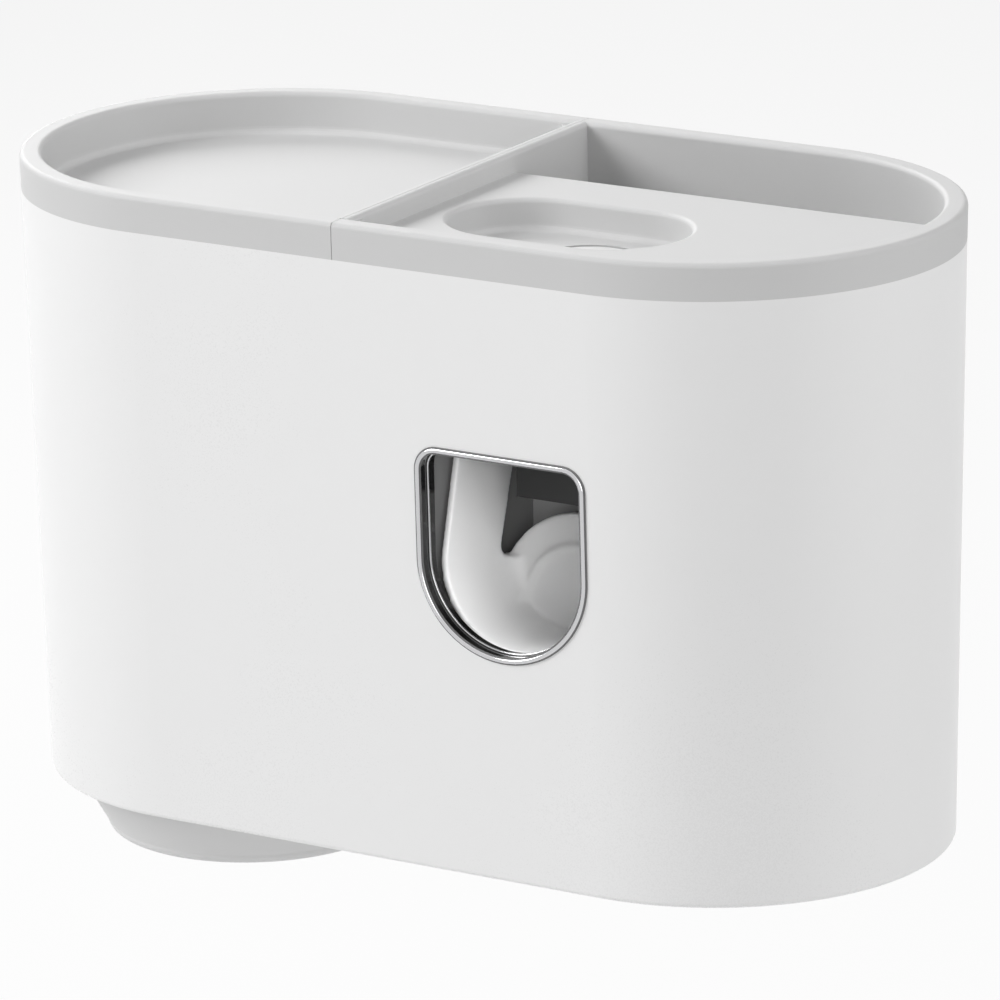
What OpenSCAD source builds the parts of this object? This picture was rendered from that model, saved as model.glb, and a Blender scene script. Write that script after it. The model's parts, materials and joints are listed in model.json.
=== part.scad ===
// Wall-hung bathroom organiser with a hands-free toothpaste pump.
// Frame: origin on the wall at the middle of the hanger plate, +X to the right, +Y into the wall,
// +Z up. The front with the brush window looks along -Y. All sizes are in millimetres.

/* [Body] */
// Length over both round ends, at the rim
body_len = 200; // [176:1:230]
// Depth from front to back, at the rim
body_depth = 97.7; // [94:0.1:112]
// Height from the floor's underside to the rim
body_h = 127.6; // [122:0.1:150]
// How far each side draws in from the rim down to the floor
body_draft = 2.3; // [0:0.1:3]
// Thickness of the side walls
shell_wall = 2.6; // [2:0.1:3.2]
// Thickness of the floor
floor_t = 3; // [2:0.1:5]
// Radius of the rounded edge round the floor
floor_round = 1.2; // [0.6:0.1:2.5]
// Radius of the water drains in the floor
drain_r = 2; // [1:0.1:3]

/* [Collar and trays] */
// Height of the grey collar that both trays form
collar_h = 7.3; // [5:0.1:10]
// Thickness of the rim
rim_wall = 4.5; // [4:0.1:6]
// Radius of the rounded edges of the rim
rim_round = 1; // [0.4:0.1:1.5]
// Depth of the left tray below the rim
tray_drop = 8.7; // [8:0.1:11]
// Depth of the right deck below the rim
deck_drop = 4.2; // [3:0.1:5]
// Thickness of both tray floors
tray_t = 2; // [1.6:0.1:2.5]
// Radius of the fillet at the foot of the trays' walls
tray_foot = 1.6; // [0.5:0.1:2]
// Where the two trays meet, from the body's middle
seam_x = -4.7; // [-12:0.1:-2]
// Gap between the trays
seam_gap = 0.15; // [0.05:0.05:0.3]
// Radius of the inner corners beside the seam
seam_corner = 5; // [1:0.1:6]
// Thickness of each tray's wall at the seam
seam_wall = 1.6; // [1.2:0.1:2.2]
// Clearance between the trays' skirts and the body
skirt_gap = 0.3; // [0.2:0.05:0.5]

/* [Rear slot] */
// Where the slot starts, behind the front
slot_in = 65.15; // [60:0.05:72]
// Depth of the slot's pocket below the rim
slot_drop = 85; // [50:1:100]
// How far below the rim the pocket narrows to pass the wall hooks
slot_step_drop = 22; // [16:0.5:30]
// How far the pocket's back stands in from the body's back below that step
slot_step_in = 4.6; // [4:0.1:8]
// Thickness of the pocket's walls
slot_wall = 1.6; // [1.2:0.1:2.2]

/* [Tube recess] */
// Length of the recess that holds the tube's shoulder
recess_len = 50; // [44:0.5:52]
// Width of the recess
recess_wide = 30.5; // [26:0.5:33]
// Depth of the recess below the deck
recess_depth = 6.5; // [5:0.1:7]
// Radius of the recess's rounded brim
recess_brim = 1; // [0.5:0.1:1.5]
// Radius of the fillet round the recess's floor
recess_foot = 1.5; // [0.5:0.1:2.5]
// How far the recess lies left of the pump's middle
recess_shift = 4.2; // [2:0.1:4.5]

/* [Brush window] */
// Middle of the window, from the body's middle
window_x = 31.4; // [28:0.1:34]
// Width of the window over its bezel
window_wide = 38; // [36:0.5:40]
// Top of the window, below the rim
window_drop = 41.5; // [41:0.1:43]
// Height of the window over its bezel
window_high = 41.6; // [38:0.1:44]
// Radius of the window's upper corners
window_corner = 5; // [3:0.1:8]
// Width of the bezel's face
bezel_face = 1.3; // [1:0.1:2]
// How far the bezel stands proud of the front
bezel_proud = 0.6; // [0.3:0.1:1.5]
// Thickness of the liner behind the bezel
liner_wall = 0.8; // [0.6:0.1:1]
// Depth of the liner behind the body's front
liner_deep = 5.95; // [4:0.05:6]

/* [Push lever] */
// Height of the lever's hinge below the rim
hinge_drop = 21.8; // [21:0.1:23]
// Distance of the hinge behind the front
hinge_in = 28.85; // [28:0.05:29.5]
// Width over the lever's arms
lever_wide = 36.6; // [34:0.1:37]
// Thickness of the arms and of the trough
lever_wall = 1.6; // [1.2:0.1:2.2]
// Height of the hinge above the trough's floor
lever_reach = 62.2; // [60:0.1:64]
// Distance from the hinge line forward to the trough's lip
lever_lip = 15.8; // [14:0.1:16.5]
// Distance from the hinge line back to the lever's push plate
plate_back = 7; // [5:0.1:8]
// Thickness of the push plate
plate_t = 1.8; // [1.2:0.1:2.4]
// Radius of the push plate's arched top
arch_r = 18.4; // [17.5:0.1:18.4]
// Radius of the notch between each arm and the plate
notch_r = 1.9; // [1.5:0.1:2.1]
// Radius of the hollow between the trough and the plate
scoop_r = 5; // [3:0.5:8]
// Radius of the bead on the push plate
bead_r = 11.8; // [8:0.1:15]
// How far the lever leans forward at rest
rest_lean = 6; // [5:0.5:7]
// Radius of the hinge pins
pin_r = 2; // [1.5:0.1:2.5]
// Running clearance round pins and plunger
run_gap = 0.05; // [0.02:0.01:0.09]

/* [Pump] */
// Radius of the pump's bore
bore_r = 8; // [6.5:0.1:8.5]
// Distance of the pump's bore in front of the hinge
bore_ahead = 13; // [12.5:0.1:14]
// Wall round the pump's bore
bore_wall = 1.6; // [1.2:0.1:2]
// Length of the spring in the pump
spring_len = 5.3; // [4.5:0.1:6]
// Turns of the spring
spring_turns = 3; // [2:0.5:3.5]
// Thickness of the spring's wire
wire_d = 0.6; // [0.5:0.05:0.7]
// Distance of the tube's socket behind the front
neck_in = 34.85; // [34:0.05:35.2]
// Radius of the socket's soft bore, for the tube's neck
neck_r = 6.8; // [5.5:0.1:7.4]
// Radius of the cup round the socket's seal
cup_r = 10; // [9.5:0.1:10.3]
// How far the cup's edge lies below the recess's floor
cup_sink = 1; // [0.9:0.1:1.4]
// Radius of the paste way
paste_r = 2; // [1.5:0.1:2.4]
// Height of the nozzle block's underside below the hinge
nozzle_drop = 34.5; // [33:0.1:35]

/* [Pump case] */
// Thickness of the case's walls
case_wall = 1.5; // [1.2:0.1:2]
// Clearance beside the lever in the case
case_side = 1.2; // [1:0.1:1.4]
// Depth of the case from front to back
case_deep = 39.8; // [39.6:0.1:40]
// Height of the case below the hinge
case_reach = 68; // [66:0.5:72]
// Radius of the case's and the cup seat's screws
screw_r = 1.45; // [1.2:0.05:1.6]

/* [Cup seat] */
// Middle of the cup seat from the body's left end
seat_in = 45.4; // [44:0.1:50]
// Middle of the cup seat in front of the body's middle
seat_y = 5; // [0:0.1:5]
// Radius of the seat's lower face
seat_r = 30; // [26:0.1:31]
// Radius of the seat where it meets the floor
seat_top_r = 36; // [34:0.1:38]
// Height of the seat
seat_h = 12.8; // [10:0.1:14]
// Thickness of the seat's shell
seat_wall = 2; // [1.5:0.1:3]
// Radius of the magnet
magnet_r = 15; // [10:0.5:16]
// Thickness of the magnet
magnet_t = 4; // [2:0.5:5]

/* [Hanger] */
// Gap between the rim and the wall
wall_gap = 2.6; // [2.5:0.1:4]
// Length of the hanger plate
plate_len = 90; // [80:1:96]
// Height of the hanger plate
plate_high = 50; // [44:1:60]
// Thickness of the adhesive pad
pad_t = 0.8; // [0.5:0.1:1]
// Thickness of the hanger plate
hanger_t = 1.5; // [1.2:0.1:1.6]
// Distance of each hook from the middle
hook_x = 28; // [22:1:32]
// Width of a hook
hook_wide = 14; // [8:1:18]
// Height of a hook's tongue
hook_tongue = 10; // [6:0.5:12]
// Thickness of a hook's tongue
hook_t = 2; // [1.5:0.1:2.2]
// Radius of the rubber bumpers
bumper_r = 6; // [4:0.5:8]

/* [Hidden] */
$fn = 96;

white = [0.93, 0.93, 0.93];
grey = [0.78, 0.78, 0.78];
charcoal = [0.16, 0.16, 0.17];
steel = [0.7, 0.7, 0.72];
silicone = [0.86, 0.86, 0.84];

touch = 0.05;       // gap between pieces that rest on each other
free = 0.3;         // gap between pieces that only pass
over = 1;           // how far a cut runs past its piece
lap = 0.5;          // how far two shapes of one piece run into each other

z_rim = body_h / 2;
z_floor = -body_h / 2;
rim_r = body_depth / 2;
spine = (body_len - body_depth) / 2;
wall_y = rim_r + wall_gap;
z_collar = z_rim - collar_h;
rim_in = rim_r - rim_wall;

// Radius of the body's side at a height
function side_r(z) = rim_r - body_draft * (z_rim - z) / body_h;

// Points along an arc
function arc(c, r, from, to, n = 6) =
    [for (i = [0:n]) let (a = from + (to - from) * i / n) [c[0] + r * cos(a), c[1] + r * sin(a)]];

// The trays' common outlines
tray_z = z_rim - tray_drop;
deck_z = z_rim - deck_drop;
skirt_r = side_r(z_collar) - shell_wall - skirt_gap;
skirt_z = tray_z - tray_t;

// The pocket of the rear slot
slot_front = slot_in - rim_r;
slot_z = z_rim - slot_drop;
slot_step_z = z_rim - slot_step_drop;
slot_back = side_r(slot_step_z) - shell_wall - slot_step_in;
slot_left = seam_x + seam_gap / 2 + seam_wall;
slot_slope = 6;                      // height of the slope at the pocket's step
drain_in = 10;                       // the drains, behind the slot's front
drain_x = [-20, 5, 30, 55];

// The recess and the pump's socket
neck_y = rim_r - neck_in;
recess_z = deck_z - recess_depth;
recess_r = recess_wide / 2;
recess_spine = (recess_len - recess_wide) / 2;
recess_y = 0.25 - neck_y;            // middle line of the recess
cup_z = recess_z - cup_sink;

// The window: its lower end is a half circle
window_r = window_wide / 2;
window_up = window_high - window_r;
window_z = z_rim - window_drop - window_up;
hole_in = 0.4;                       // how far the hole lies inside the bezel's edge
liner_out = hole_in + 0.1;
liner_y = -rim_r + liner_deep;
liner_flange = 1;                    // thickness of the flange behind the front wall
liner_brim = 1;                      // how far the flange reaches past the window

// The lever
hinge_y = rim_r - hinge_in;
hinge_z = z_rim - hinge_drop;
arm_out = lever_wide / 2;
arm_in = arm_out - lever_wall;
trough_z = arm_in - lever_reach;     // middle of the trough's round floor, from the hinge
arch_z = -lever_reach + 5.15;        // middle of the arch, from the hinge
lip_step = 3.6;                      // how far the trough's lip stands before the arms
lip_rise = 22;                       // height at which the lip has run out into the arms
notch_y = 6.6;                       // middle of the notch, from the hinge
notch_z = -46.9;
arm_full = 28;                       // how far down the arms keep their full depth
shoulder_ahead = 5;                  // the arms' shoulder under the bar, before the bore
eye_r = 5;
bead_t = 0.8;                        // radius of the bead's section
plate_rear = plate_back + plate_t;
bar_z = 1.4;                         // underside of the bar over the plunger, from the hinge
bar_t = 2.2;
bar_half = 4.5;                      // half the bar's width from front to back
bar_top = bar_z + bar_t;
ridge_r = 1.6;
ridge_half = 8;                      // half the length of the ridge under the bar
eye_air = 0.2;                       // clearance between the hinge eyes and the cheeks

// The pump, from the top of its plunger down
bore_y = -hinge_y - bore_ahead;
head_air = 0.26;                     // from the ridge down to the plunger at rest
head_z = hinge_z + bore_ahead * sin(rest_lean) - ridge_r - head_air;
head_t = 1.2;
head_r = 5;
rod_r = 3;
rod_len = 6.3;
piston_t = 4;
piston_top = head_z - head_t - rod_len;
piston_z = piston_top - piston_t;
chamber_floor = piston_z - spring_len - 2 * touch;
chamber_top = piston_top + 2;
cap_t = 1.4;
cap_spigot = 1.6;
block_floor = 2;
block_high = chamber_floor + 5.5;    // top of the block between the ducts
duct_r = 9.3;
duct_low = chamber_floor - 4.5;
throat_r = 4;
port_r = paste_r - 0.3;
spigot_fit = 0.08;                   // clearance of plugs in their bores
seal_slip = 0.02;                    // clearance of the piston's seal in the bore
valve_r = 5;
valve_top = chamber_floor + 6.5;
port_z = chamber_floor + 1.8;
nozzle_z = hinge_z - nozzle_drop;
nozzle_wall = 1;
nozzle_y = -neck_y - valve_r - nozzle_wall - paste_r;
nozzle_front = nozzle_y - 4.5;
nozzle_back = nozzle_y + 4;
beak_bore_r = 3.5;                   // the outlet valve's seat in the nozzle
beak_bore_len = 3;
seal_r = cup_r - 1.4;
seal_len = 10;
lip_t = 0.85;                        // the seal's rim that shows in the recess
flap_t = 0.9;                        // the inlet flap, with its clearance
flap_air = 0.2;
plug_brim = 2;
plug_t = 1.2;
post_r = 1.2;
cup_fit = 0.1;                       // clearance of the soft parts in their seats
beak_r = 1.8;
beak_len = 2.5;
beak_tip_r = 1.6;
beak_slit = 0.3;
beak_z = nozzle_z + beak_len + 0.2;  // underside of the valve's collar; its beak ends inside the nozzle
ear_x = 12.5;
ear_y = 6.5 - neck_y;
ear_wide = 3.5;
ear_half = 2.5;
ear_t = 5;

// The case
case_in = arm_out + case_side;
case_out = case_in + case_wall;
case_in_front = 6.85;                // from the front to the case
case_front = case_in_front - rim_r;
case_back = -case_front - case_deep;
case_top = recess_z - tray_t - 1;
case_floor = hinge_z - case_reach;
flange_wide = 7;
flange_half = 5;
flange_t = 2;
tab_half = 3;                        // half the width of the tabs that hold the cheeks
tab_y = [case_front + 8, -case_back - 8];
tab_z = [case_floor + 12, case_floor + 44];
pin_fit = 0.02;
pin_head = 1.2;                      // brim and thickness of the pins' heads
case_shank = 6;
ear_shank = 5;
ear_pilot = 8;
sink_air = 0.1;                      // clearance of the countersunk heads
flange_x = case_out + flange_wide / 2;
boss_r = 3.4;
pilot_deep = 4.4;
flange_high = [window_z + 30.3, window_z - 11.7];
pilot_r = screw_r + 0.05;
clear_r = screw_r + 0.15;
screw_head_r = 2.8;
screw_head_t = 1.7;
cross_wide = 3.2;
cross_slit = 0.6;
cross_deep = 0.7;

// The cup seat
seat_x = body_len / 2 - seat_in;     // its middle, left of the body's middle
seat_z = z_floor - seat_h;
seat_post = 24;
seat_post_r = 4;
seat_edge = 2;
magnet_fit = 0.1;
magnet_wall = 1.6;
seat_clear = 3;                      // from the screws' ends to the seat's lower wall
yoke_t = 1.15;

// The hanger
pad_edge = 2;                        // how far the pad ends inside the plate's edge
plate_corner = 6;
hook_neck = 4;
hook_cut = 8;                        // how far inside the rim the hooks' slots start
hook_z = 8;                          // top of the hooks' necks
hook_air = 0.4;                      // between the tongues and the back wall
hook_in = side_r(hook_z) - shell_wall - hook_air;
bumper_z = z_floor + 15.8;
bumper_x = 40;
bumper_air = 0.2;

// A ring or block with a stadium outline, from its section at the spine outward
module around(section, half = spine) {
    for (side = [-1, 1])
        translate([side * half, 0, 0])
            rotate([0, 0, -90 * side])
                rotate_extrude(angle = 180)
                    polygon(section);
    for (side = [0, 1])
        mirror([0, side, 0])
            translate([-half, 0, 0])
                rotate([90, 0, 90])
                    linear_extrude(2 * half)
                        polygon(section);
}

// A solid block of the stadium outline, between two heights and their radii
module stadium_block(z1, r1, z2, r2) {
    around([[0, z1], [r1, z1], [r2, z2], [0, z2]]);
}

// A box between two corners
module span(low, high) {
    translate(low)
        cube(high - low);
}

// Moves a piece from the body's own middle to its place in front of the wall
module in_body() {
    translate([0, -wall_y, 0])
        children();
}

// Moves a piece to the pump's middle line
module in_pump() {
    in_body()
        translate([window_x, 0, 0])
            children();
}

// Turns a flat outline to face the front, and gives it depth from y1 back to y2
module front_prism(y1, y2) {
    translate([0, y2, 0])
        rotate([90, 0, 0])
            linear_extrude(y2 - y1)
                children();
}

// Gives a side view, drawn as y and z, its width along X
module side_prism(x1, x2) {
    translate([x1, 0, 0])
        rotate([90, 0, 90])
            linear_extrude(x2 - x1)
                children();
}

// A round bar along X
module bar_x(r, x1, x2) {
    translate([x1, 0, 0])
        rotate([0, 90, 0])
            cylinder(r = r, h = x2 - x1);
}

// A round bar along Y
module bar_y(r, y1, y2) {
    translate([0, y1, 0])
        rotate([-90, 0, 0])
            cylinder(r = r, h = y2 - y1);
}

// A round bar along Z
module bar_z(r, z1, z2) {
    translate([0, 0, z1])
        cylinder(r = r, h = z2 - z1);
}

// A flat rectangle with round corners
module round_rect(wide, high, r) {
    square([wide - 2 * r, high], center = true);
    square([wide, high - 2 * r], center = true);
    for (x = [-1, 1], y = [-1, 1])
        translate([x * (wide / 2 - r), y * (high / 2 - r)])
            circle(r = r);
}

// The adhesive pad between the hanger plate and the wall
module adhesive_pad() {
    color([0.9, 0.9, 0.85])
        front_prism(-pad_t, 0)
            round_rect(plate_len - 2 * pad_edge, plate_high - 2 * pad_edge, plate_corner - pad_edge);
}

// The hanger plate with its two upturned hooks
module wall_plate() {
    plate_y = -pad_t - hanger_t;
    tongue_y = hook_in - wall_y;
    color("white") {
        front_prism(plate_y, -pad_t)
            round_rect(plate_len, plate_high, plate_corner);
        for (side = [-1, 1])
            translate([side * hook_x, 0, 0]) {
                span([-hook_wide / 2, tongue_y, hook_z - hook_neck],
                    [hook_wide / 2, plate_y + touch, hook_z]);
                span([-hook_wide / 2, tongue_y - hook_t, hook_z - hook_neck],
                    [hook_wide / 2, tongue_y, hook_z + hook_tongue]);
            }
    }
}

// The section of the body's shell, from the middle of the floor out and up
module body_section_solid() {
    in_r = 2;
    low_r = side_r(z_floor + floor_round);
    foot_in = side_r(z_floor + floor_t + in_r) - shell_wall;
    around(concat(
        [[0, z_floor]],
        arc([low_r - floor_round, z_floor + floor_round], floor_round, -90, 0, 8),
        [[side_r(z_collar), z_collar], [side_r(z_collar) - shell_wall, z_collar]],
        arc([foot_in - in_r, z_floor + floor_t + in_r], in_r, 0, -90, 4),
        [[0, z_floor + floor_t]]));
}

// The places of the case's four screws, as x from the pump's middle and z
module at_case_screws() {
    for (side = [-1, 1], z = flange_high)
        translate([window_x + side * flange_x, 0, z])
            children();
}

// The places of the cup seat's three screws
module at_seat_screws() {
    for (turn = [30, 150, 270])
        translate([-seat_x, -seat_y, 0])
            rotate([0, 0, turn])
                translate([seat_post, 0, 0])
                    children();
}

// The white body: one deep shell that is open at the top
module body_shell() {
    color(white)
        in_body()
            difference() {
                union() {
                    body_section_solid();
                    intersection() {
                        at_case_screws()
                            bar_y(boss_r, -rim_r, case_front);
                        stadium_block(z_floor, side_r(z_floor) - over, z_collar, side_r(z_collar) - over);
                    }
                }
                translate([window_x, 0, window_z])
                    front_prism(-rim_r - over, case_front)
                        window_outline(-hole_in);
                at_case_screws()
                    bar_y(pilot_r, case_front - pilot_deep, case_front + over);
                for (side = [-1, 1])
                    translate([side * hook_x, 0, 0])
                        span([-hook_wide / 2 - free, rim_r - hook_cut,
                            hook_z - hook_tongue - hook_neck - over],
                            [hook_wide / 2 + free, rim_r + over, hook_z + touch]);
                for (x = drain_x)
                    translate([x, slot_front + drain_in, 0])
                        bar_z(drain_r, z_floor - over, z_floor + floor_t + over);
                at_seat_screws()
                    bar_z(clear_r, z_floor - over, z_floor + floor_t + over);
            }
}

// The rubber bumpers that keep the body's foot off the wall
module wall_bumpers() {
    color(charcoal)
        for (side = [-1, 1])
            translate([side * bumper_x, -wall_y, bumper_z])
                bar_y(bumper_r, side_r(bumper_z + bumper_r) + touch, wall_y - bumper_air);
}

// The rounded edge over the top of the rim, from its inner face to its outer face
function rim_edge() = concat(
    [[rim_in, z_rim - rim_round]],
    arc([rim_in + rim_round, z_rim - rim_round], rim_round, 180, 90, 5),
    arc([rim_r - rim_round, z_rim - rim_round], rim_round, 90, 0, 5),
    [[side_r(z_collar), z_collar], [skirt_r, z_collar], [skirt_r, skirt_z]]);

// A tray's section: floor, foot fillet, rim and skirt
module tray_ring(floor_z) {
    around(concat(
        [[0, floor_z - tray_t], [0, floor_z]],
        arc([rim_in - tray_foot, floor_z + tray_foot], tray_foot, -90, 0, 5),
        rim_edge(),
        [[rim_in, skirt_z], [rim_in, floor_z - tray_t]]));
}

// The wall at the seam, with the same rounded top edge as the rim, clipped to the rim's outline
module seam_slab(x1, x2, low, round_left) {
    r = min(rim_round, seam_wall - lap);
    outline = round_left
        ? concat([[x2, low], [x2, z_rim]], arc([x1 + r, z_rim - r], r, 90, 180, 5), [[x1, low]])
        : concat([[x1, low], [x1, z_rim]], arc([x2 - r, z_rim - r], r, 90, 0, 5), [[x2, low]]);
    intersection() {
        translate([0, rim_r, 0])
            rotate([90, 0, 0])
                linear_extrude(body_depth)
                    polygon(outline);
        stadium_block(low - over, rim_in + lap, z_rim + over, rim_in + lap);
    }
}

// The left tray: a plain dish with the collar's left part
module left_tray() {
    edge = seam_x - seam_gap / 2;
    color(grey)
        in_body() {
            intersection() {
                tray_ring(tray_z);
                span([-body_len, -body_depth, z_floor], [edge, body_depth, z_rim + over]);
            }
            seam_slab(edge - seam_wall, edge, skirt_z, true);
            for (end = [-1, 1])
                corner_fillet(edge - seam_wall, -1, end, tray_z);
        }
}

// The pocket's block: its back follows the body, and narrows below the step
module pocket(grow, low_r, top_r, low, top) {
    intersection() {
        around([[0, low], [low_r, low], [low_r, slot_step_z], [top_r, slot_step_z + slot_slope],
            [top_r, top], [0, top]]);
        span([slot_left - grow, slot_front - grow, low], [body_len, body_depth, top]);
    }
}

// A fillet in the upright corner between the seam's wall and the rim; side 1 is right of the seam
module corner_fillet(x, side, end, low) {
    translate([x, end * rim_in, low])
        scale([side, -end, 1])
            linear_extrude(z_rim - rim_round - low)
                difference() {
                    translate([-over / 2, -over / 2])
                        square(seam_corner + over / 2);
                    translate([seam_corner, seam_corner])
                        circle(r = seam_corner);
                }
}

// Moves a piece to the middle of the recess
module at_recess() {
    translate([window_x - recess_shift, recess_y, 0])
        children();
}

// What the recess takes out of the deck: a racetrack with a rounded brim and a filleted floor
module recess_cut() {
    foot = recess_r - recess_foot;
    brim = recess_r + recess_brim;
    at_recess()
        around(concat(
            [[0, recess_z]],
            arc([foot, recess_z + recess_foot], recess_foot, -90, 0, 5),
            arc([brim, deck_z - recess_brim], recess_brim, 180, 90, 5),
            [[brim, deck_z + over], [0, deck_z + over]]), recess_spine);
}

// The right tray: deck, tube recess and the pocket of the rear slot
module right_tray() {
    edge = seam_x + seam_gap / 2;
    color(grey)
        in_body()
            difference() {
                union() {
                    intersection() {
                        tray_ring(deck_z);
                        span([edge, -body_depth, z_floor], [body_len, body_depth, z_rim + over]);
                    }
                    seam_slab(edge, edge + seam_wall, skirt_z, false);
                    corner_fillet(slot_left, 1, -1, deck_z);
                    pocket(slot_wall, slot_back, skirt_r, slot_z - slot_wall, deck_z);
                    at_recess()
                        around([[0, recess_z - tray_t], [recess_r + tray_t, recess_z - tray_t],
                            [recess_r + tray_t, deck_z - touch], [0, deck_z - touch]], recess_spine);
                }
                pocket(0, slot_back - slot_wall, rim_in, slot_z, deck_z + tray_foot);
                recess_cut();
                translate([window_x, -neck_y, 0])
                    bar_z(cup_r + 2 * free, recess_z - tray_t - over, recess_z + over);
                translate([drain_x[2], slot_front + drain_in, 0])
                    bar_z(drain_r, slot_z - slot_wall - over, slot_z + over);
            }
}

// The window's outline: half round below, with two small round corners above
module window_outline(grow) {
    r = window_r + grow;
    c = window_corner + grow;
    top = window_up + grow;
    circle(r = r);
    translate([-r, 0])
        square([2 * r, top - c]);
    translate([c - r, 0])
        square([2 * (r - c), top]);
    for (side = [-1, 1])
        translate([side * (r - c), top - c])
            circle(r = c);
}

// A slab that follows the body's sloping front, from a distance in front of it to one behind it
module front_slab(ahead, behind) {
    low = window_z - window_r - over;
    high = z_rim - window_drop + over;
    side_prism(-window_wide, window_wide)
        polygon([[-side_r(low) - ahead, low], [-side_r(high) - ahead, high],
            [-side_r(high) + behind, high], [-side_r(low) + behind, low]]);
}

// The clear bezel round the window
module window_bezel() {
    color([0.85, 0.87, 0.88])
        in_pump()
            intersection() {
                translate([0, 0, window_z])
                    front_prism(-rim_r - over, liner_y)
                        difference() {
                            window_outline(0);
                            window_outline(-bezel_face);
                        }
                front_slab(bezel_proud, 0);
            }
}

// The glossy dark liner: a sleeve through the front wall with a flange behind it
module window_liner() {
    flange_y = -side_r(window_z - window_r) + shell_wall + free;
    color(charcoal)
        in_pump() {
            intersection() {
                translate([0, 0, window_z])
                    front_prism(-rim_r - over, liner_y)
                        difference() {
                            window_outline(-liner_out);
                            window_outline(-liner_out - liner_wall);
                        }
                front_slab(-touch, 2 * liner_deep);
            }
            translate([0, 0, window_z])
                front_prism(flange_y, flange_y + liner_flange)
                    difference() {
                        window_outline(liner_brim);
                        window_outline(-liner_out - liner_wall / 2);
                    }
        }
}

// The tabs on the case's roof and back that hold the cheeks, or with a clearance their slots
module case_tabs(fit) {
    for (side = [-1, 1], x = [side * (case_in + case_out) / 2]) {
        for (y = tab_y)
            span([x - case_wall / 2 - lap, y - tab_half - fit, case_top - case_wall - fit],
                [x + case_wall / 2 + lap, y + tab_half + fit, case_top + fit]);
        for (z = tab_z)
            span([x - case_wall / 2 - lap, -case_back - case_wall - fit, z - tab_half - fit],
                [x + case_wall / 2 + lap, -case_back + fit, z + tab_half + fit]);
    }
}

// The pump case: roof and back in one, open to the front and below, with tabs for the cheeks
module pump_case() {
    wide = case_in - touch;
    color(charcoal)
        in_pump()
            difference() {
                union() {
                    span([-wide, case_front, case_top - case_wall], [wide, -case_back, case_top]);
                    span([-wide, -case_back - case_wall, case_floor], [wide, -case_back, case_top]);
                    intersection() {
                        case_tabs(0);
                        span([-case_out, case_front, case_floor], [case_out, -case_back, case_top]);
                    }
                }
                translate([0, -neck_y, 0])
                    bar_z(cup_r + 2 * cup_fit, case_top - case_wall - over, case_top + over);
                for (side = [-1, 1])
                    translate([side * ear_x, ear_y, case_top - case_wall]) {
                        bar_z(clear_r, -over, case_wall + over);
                        cylinder(r1 = clear_r, r2 = clear_r + case_wall + touch, h = case_wall + touch);
                    }
            }
}

// The two cheeks that carry the hinge pins, each with two flanges for the screws
module case_cheeks() {
    color(charcoal)
        in_pump()
            for (side = [0, 1])
                mirror([side, 0, 0])
                    difference() {
                        union() {
                            span([case_in, case_front, case_floor], [case_out, -case_back, case_top]);
                            for (z = flange_high)
                                translate([flange_x, 0, z])
                                    span([-flange_wide / 2 - lap, case_front, -flange_half],
                                        [flange_wide / 2, case_front + flange_t, flange_half]);
                        }
                        case_tabs(touch);
                        translate([0, -hinge_y, hinge_z])
                            bar_x(pin_r + pin_fit, case_in - over, case_out + over);
                        for (z = flange_high)
                            translate([flange_x, 0, z])
                                bar_y(clear_r, case_front - over, case_front + flange_t + over);
                    }
}

// A pan-head screw with its head's seat at the origin, pointing down
module pan_screw(shank) {
    bar_z(screw_r, -shank, touch);
    difference() {
        bar_z(screw_head_r, touch, screw_head_t + touch);
        for (turn = [0, 90])
            rotate([0, 0, turn])
                span([-cross_wide / 2, -cross_slit / 2, screw_head_t - cross_deep],
                    [cross_wide / 2, cross_slit / 2, screw_head_t + over]);
    }
}

// The four screws that hold the case to the body's front
module case_screws() {
    color(steel)
        in_body()
            at_case_screws()
                translate([0, case_front + flange_t, 0])
                    rotate([-90, 0, 0])
                        pan_screw(case_shank);
}

// The pump: bore, paste ways, nozzle and the cup that takes the tube's neck
module pump_block() {
    color(charcoal)
        in_pump()
            difference() {
                union() {
                    translate([0, -neck_y, 0]) {
                        bar_z(duct_r, duct_low, cup_z - seal_len);
                        bar_z(cup_r, cup_z - seal_len - 1, cup_z);
                    }
                    span([-duct_r, nozzle_front, nozzle_z], [duct_r, nozzle_back, block_high]);
                    span([-duct_r, nozzle_back - over, duct_low], [duct_r, -neck_y, block_high]);
                    translate([0, bore_y, 0])
                        bar_z(bore_r + bore_wall, chamber_floor - block_floor, chamber_top);
                    span([-ear_x - ear_wide, ear_y - ear_half, case_top - case_wall - ear_t],
                        [ear_x + ear_wide, ear_y + ear_half, case_top - case_wall - touch]);
                }
                translate([0, -neck_y, 0]) {
                    bar_z(seal_r + cup_fit, cup_z - seal_len, cup_z + over);
                    bar_z(throat_r, valve_top - over, cup_z - seal_len + over);
                    bar_z(valve_r, duct_low - over, valve_top);
                }
                translate([0, bore_y, 0])
                    bar_z(bore_r, chamber_floor, chamber_top + over);
                translate([0, 0, port_z])
                    bar_y(port_r, bore_y, -neck_y);
                translate([0, nozzle_y, 0]) {
                    bar_z(paste_r, nozzle_z - over, port_z);
                    bar_z(beak_bore_r, nozzle_z - over, beak_z + beak_bore_len);
                }
                for (side = [-1, 1])
                    translate([side * ear_x, ear_y, 0])
                        bar_z(pilot_r, case_top - case_wall - ear_pilot, case_top + over);
            }
}

// The two countersunk screws between the case's roof and the pump
module pump_screws() {
    color(steel)
        in_pump()
            for (side = [-1, 1])
                translate([side * ear_x, ear_y, case_top - case_wall]) {
                    bar_z(screw_r, -ear_shank, 2 * sink_air);
                    translate([0, 0, sink_air])
                        cylinder(r1 = screw_r, r2 = screw_r + case_wall - 2 * sink_air,
                            h = case_wall - 2 * sink_air);
                }
}

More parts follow.
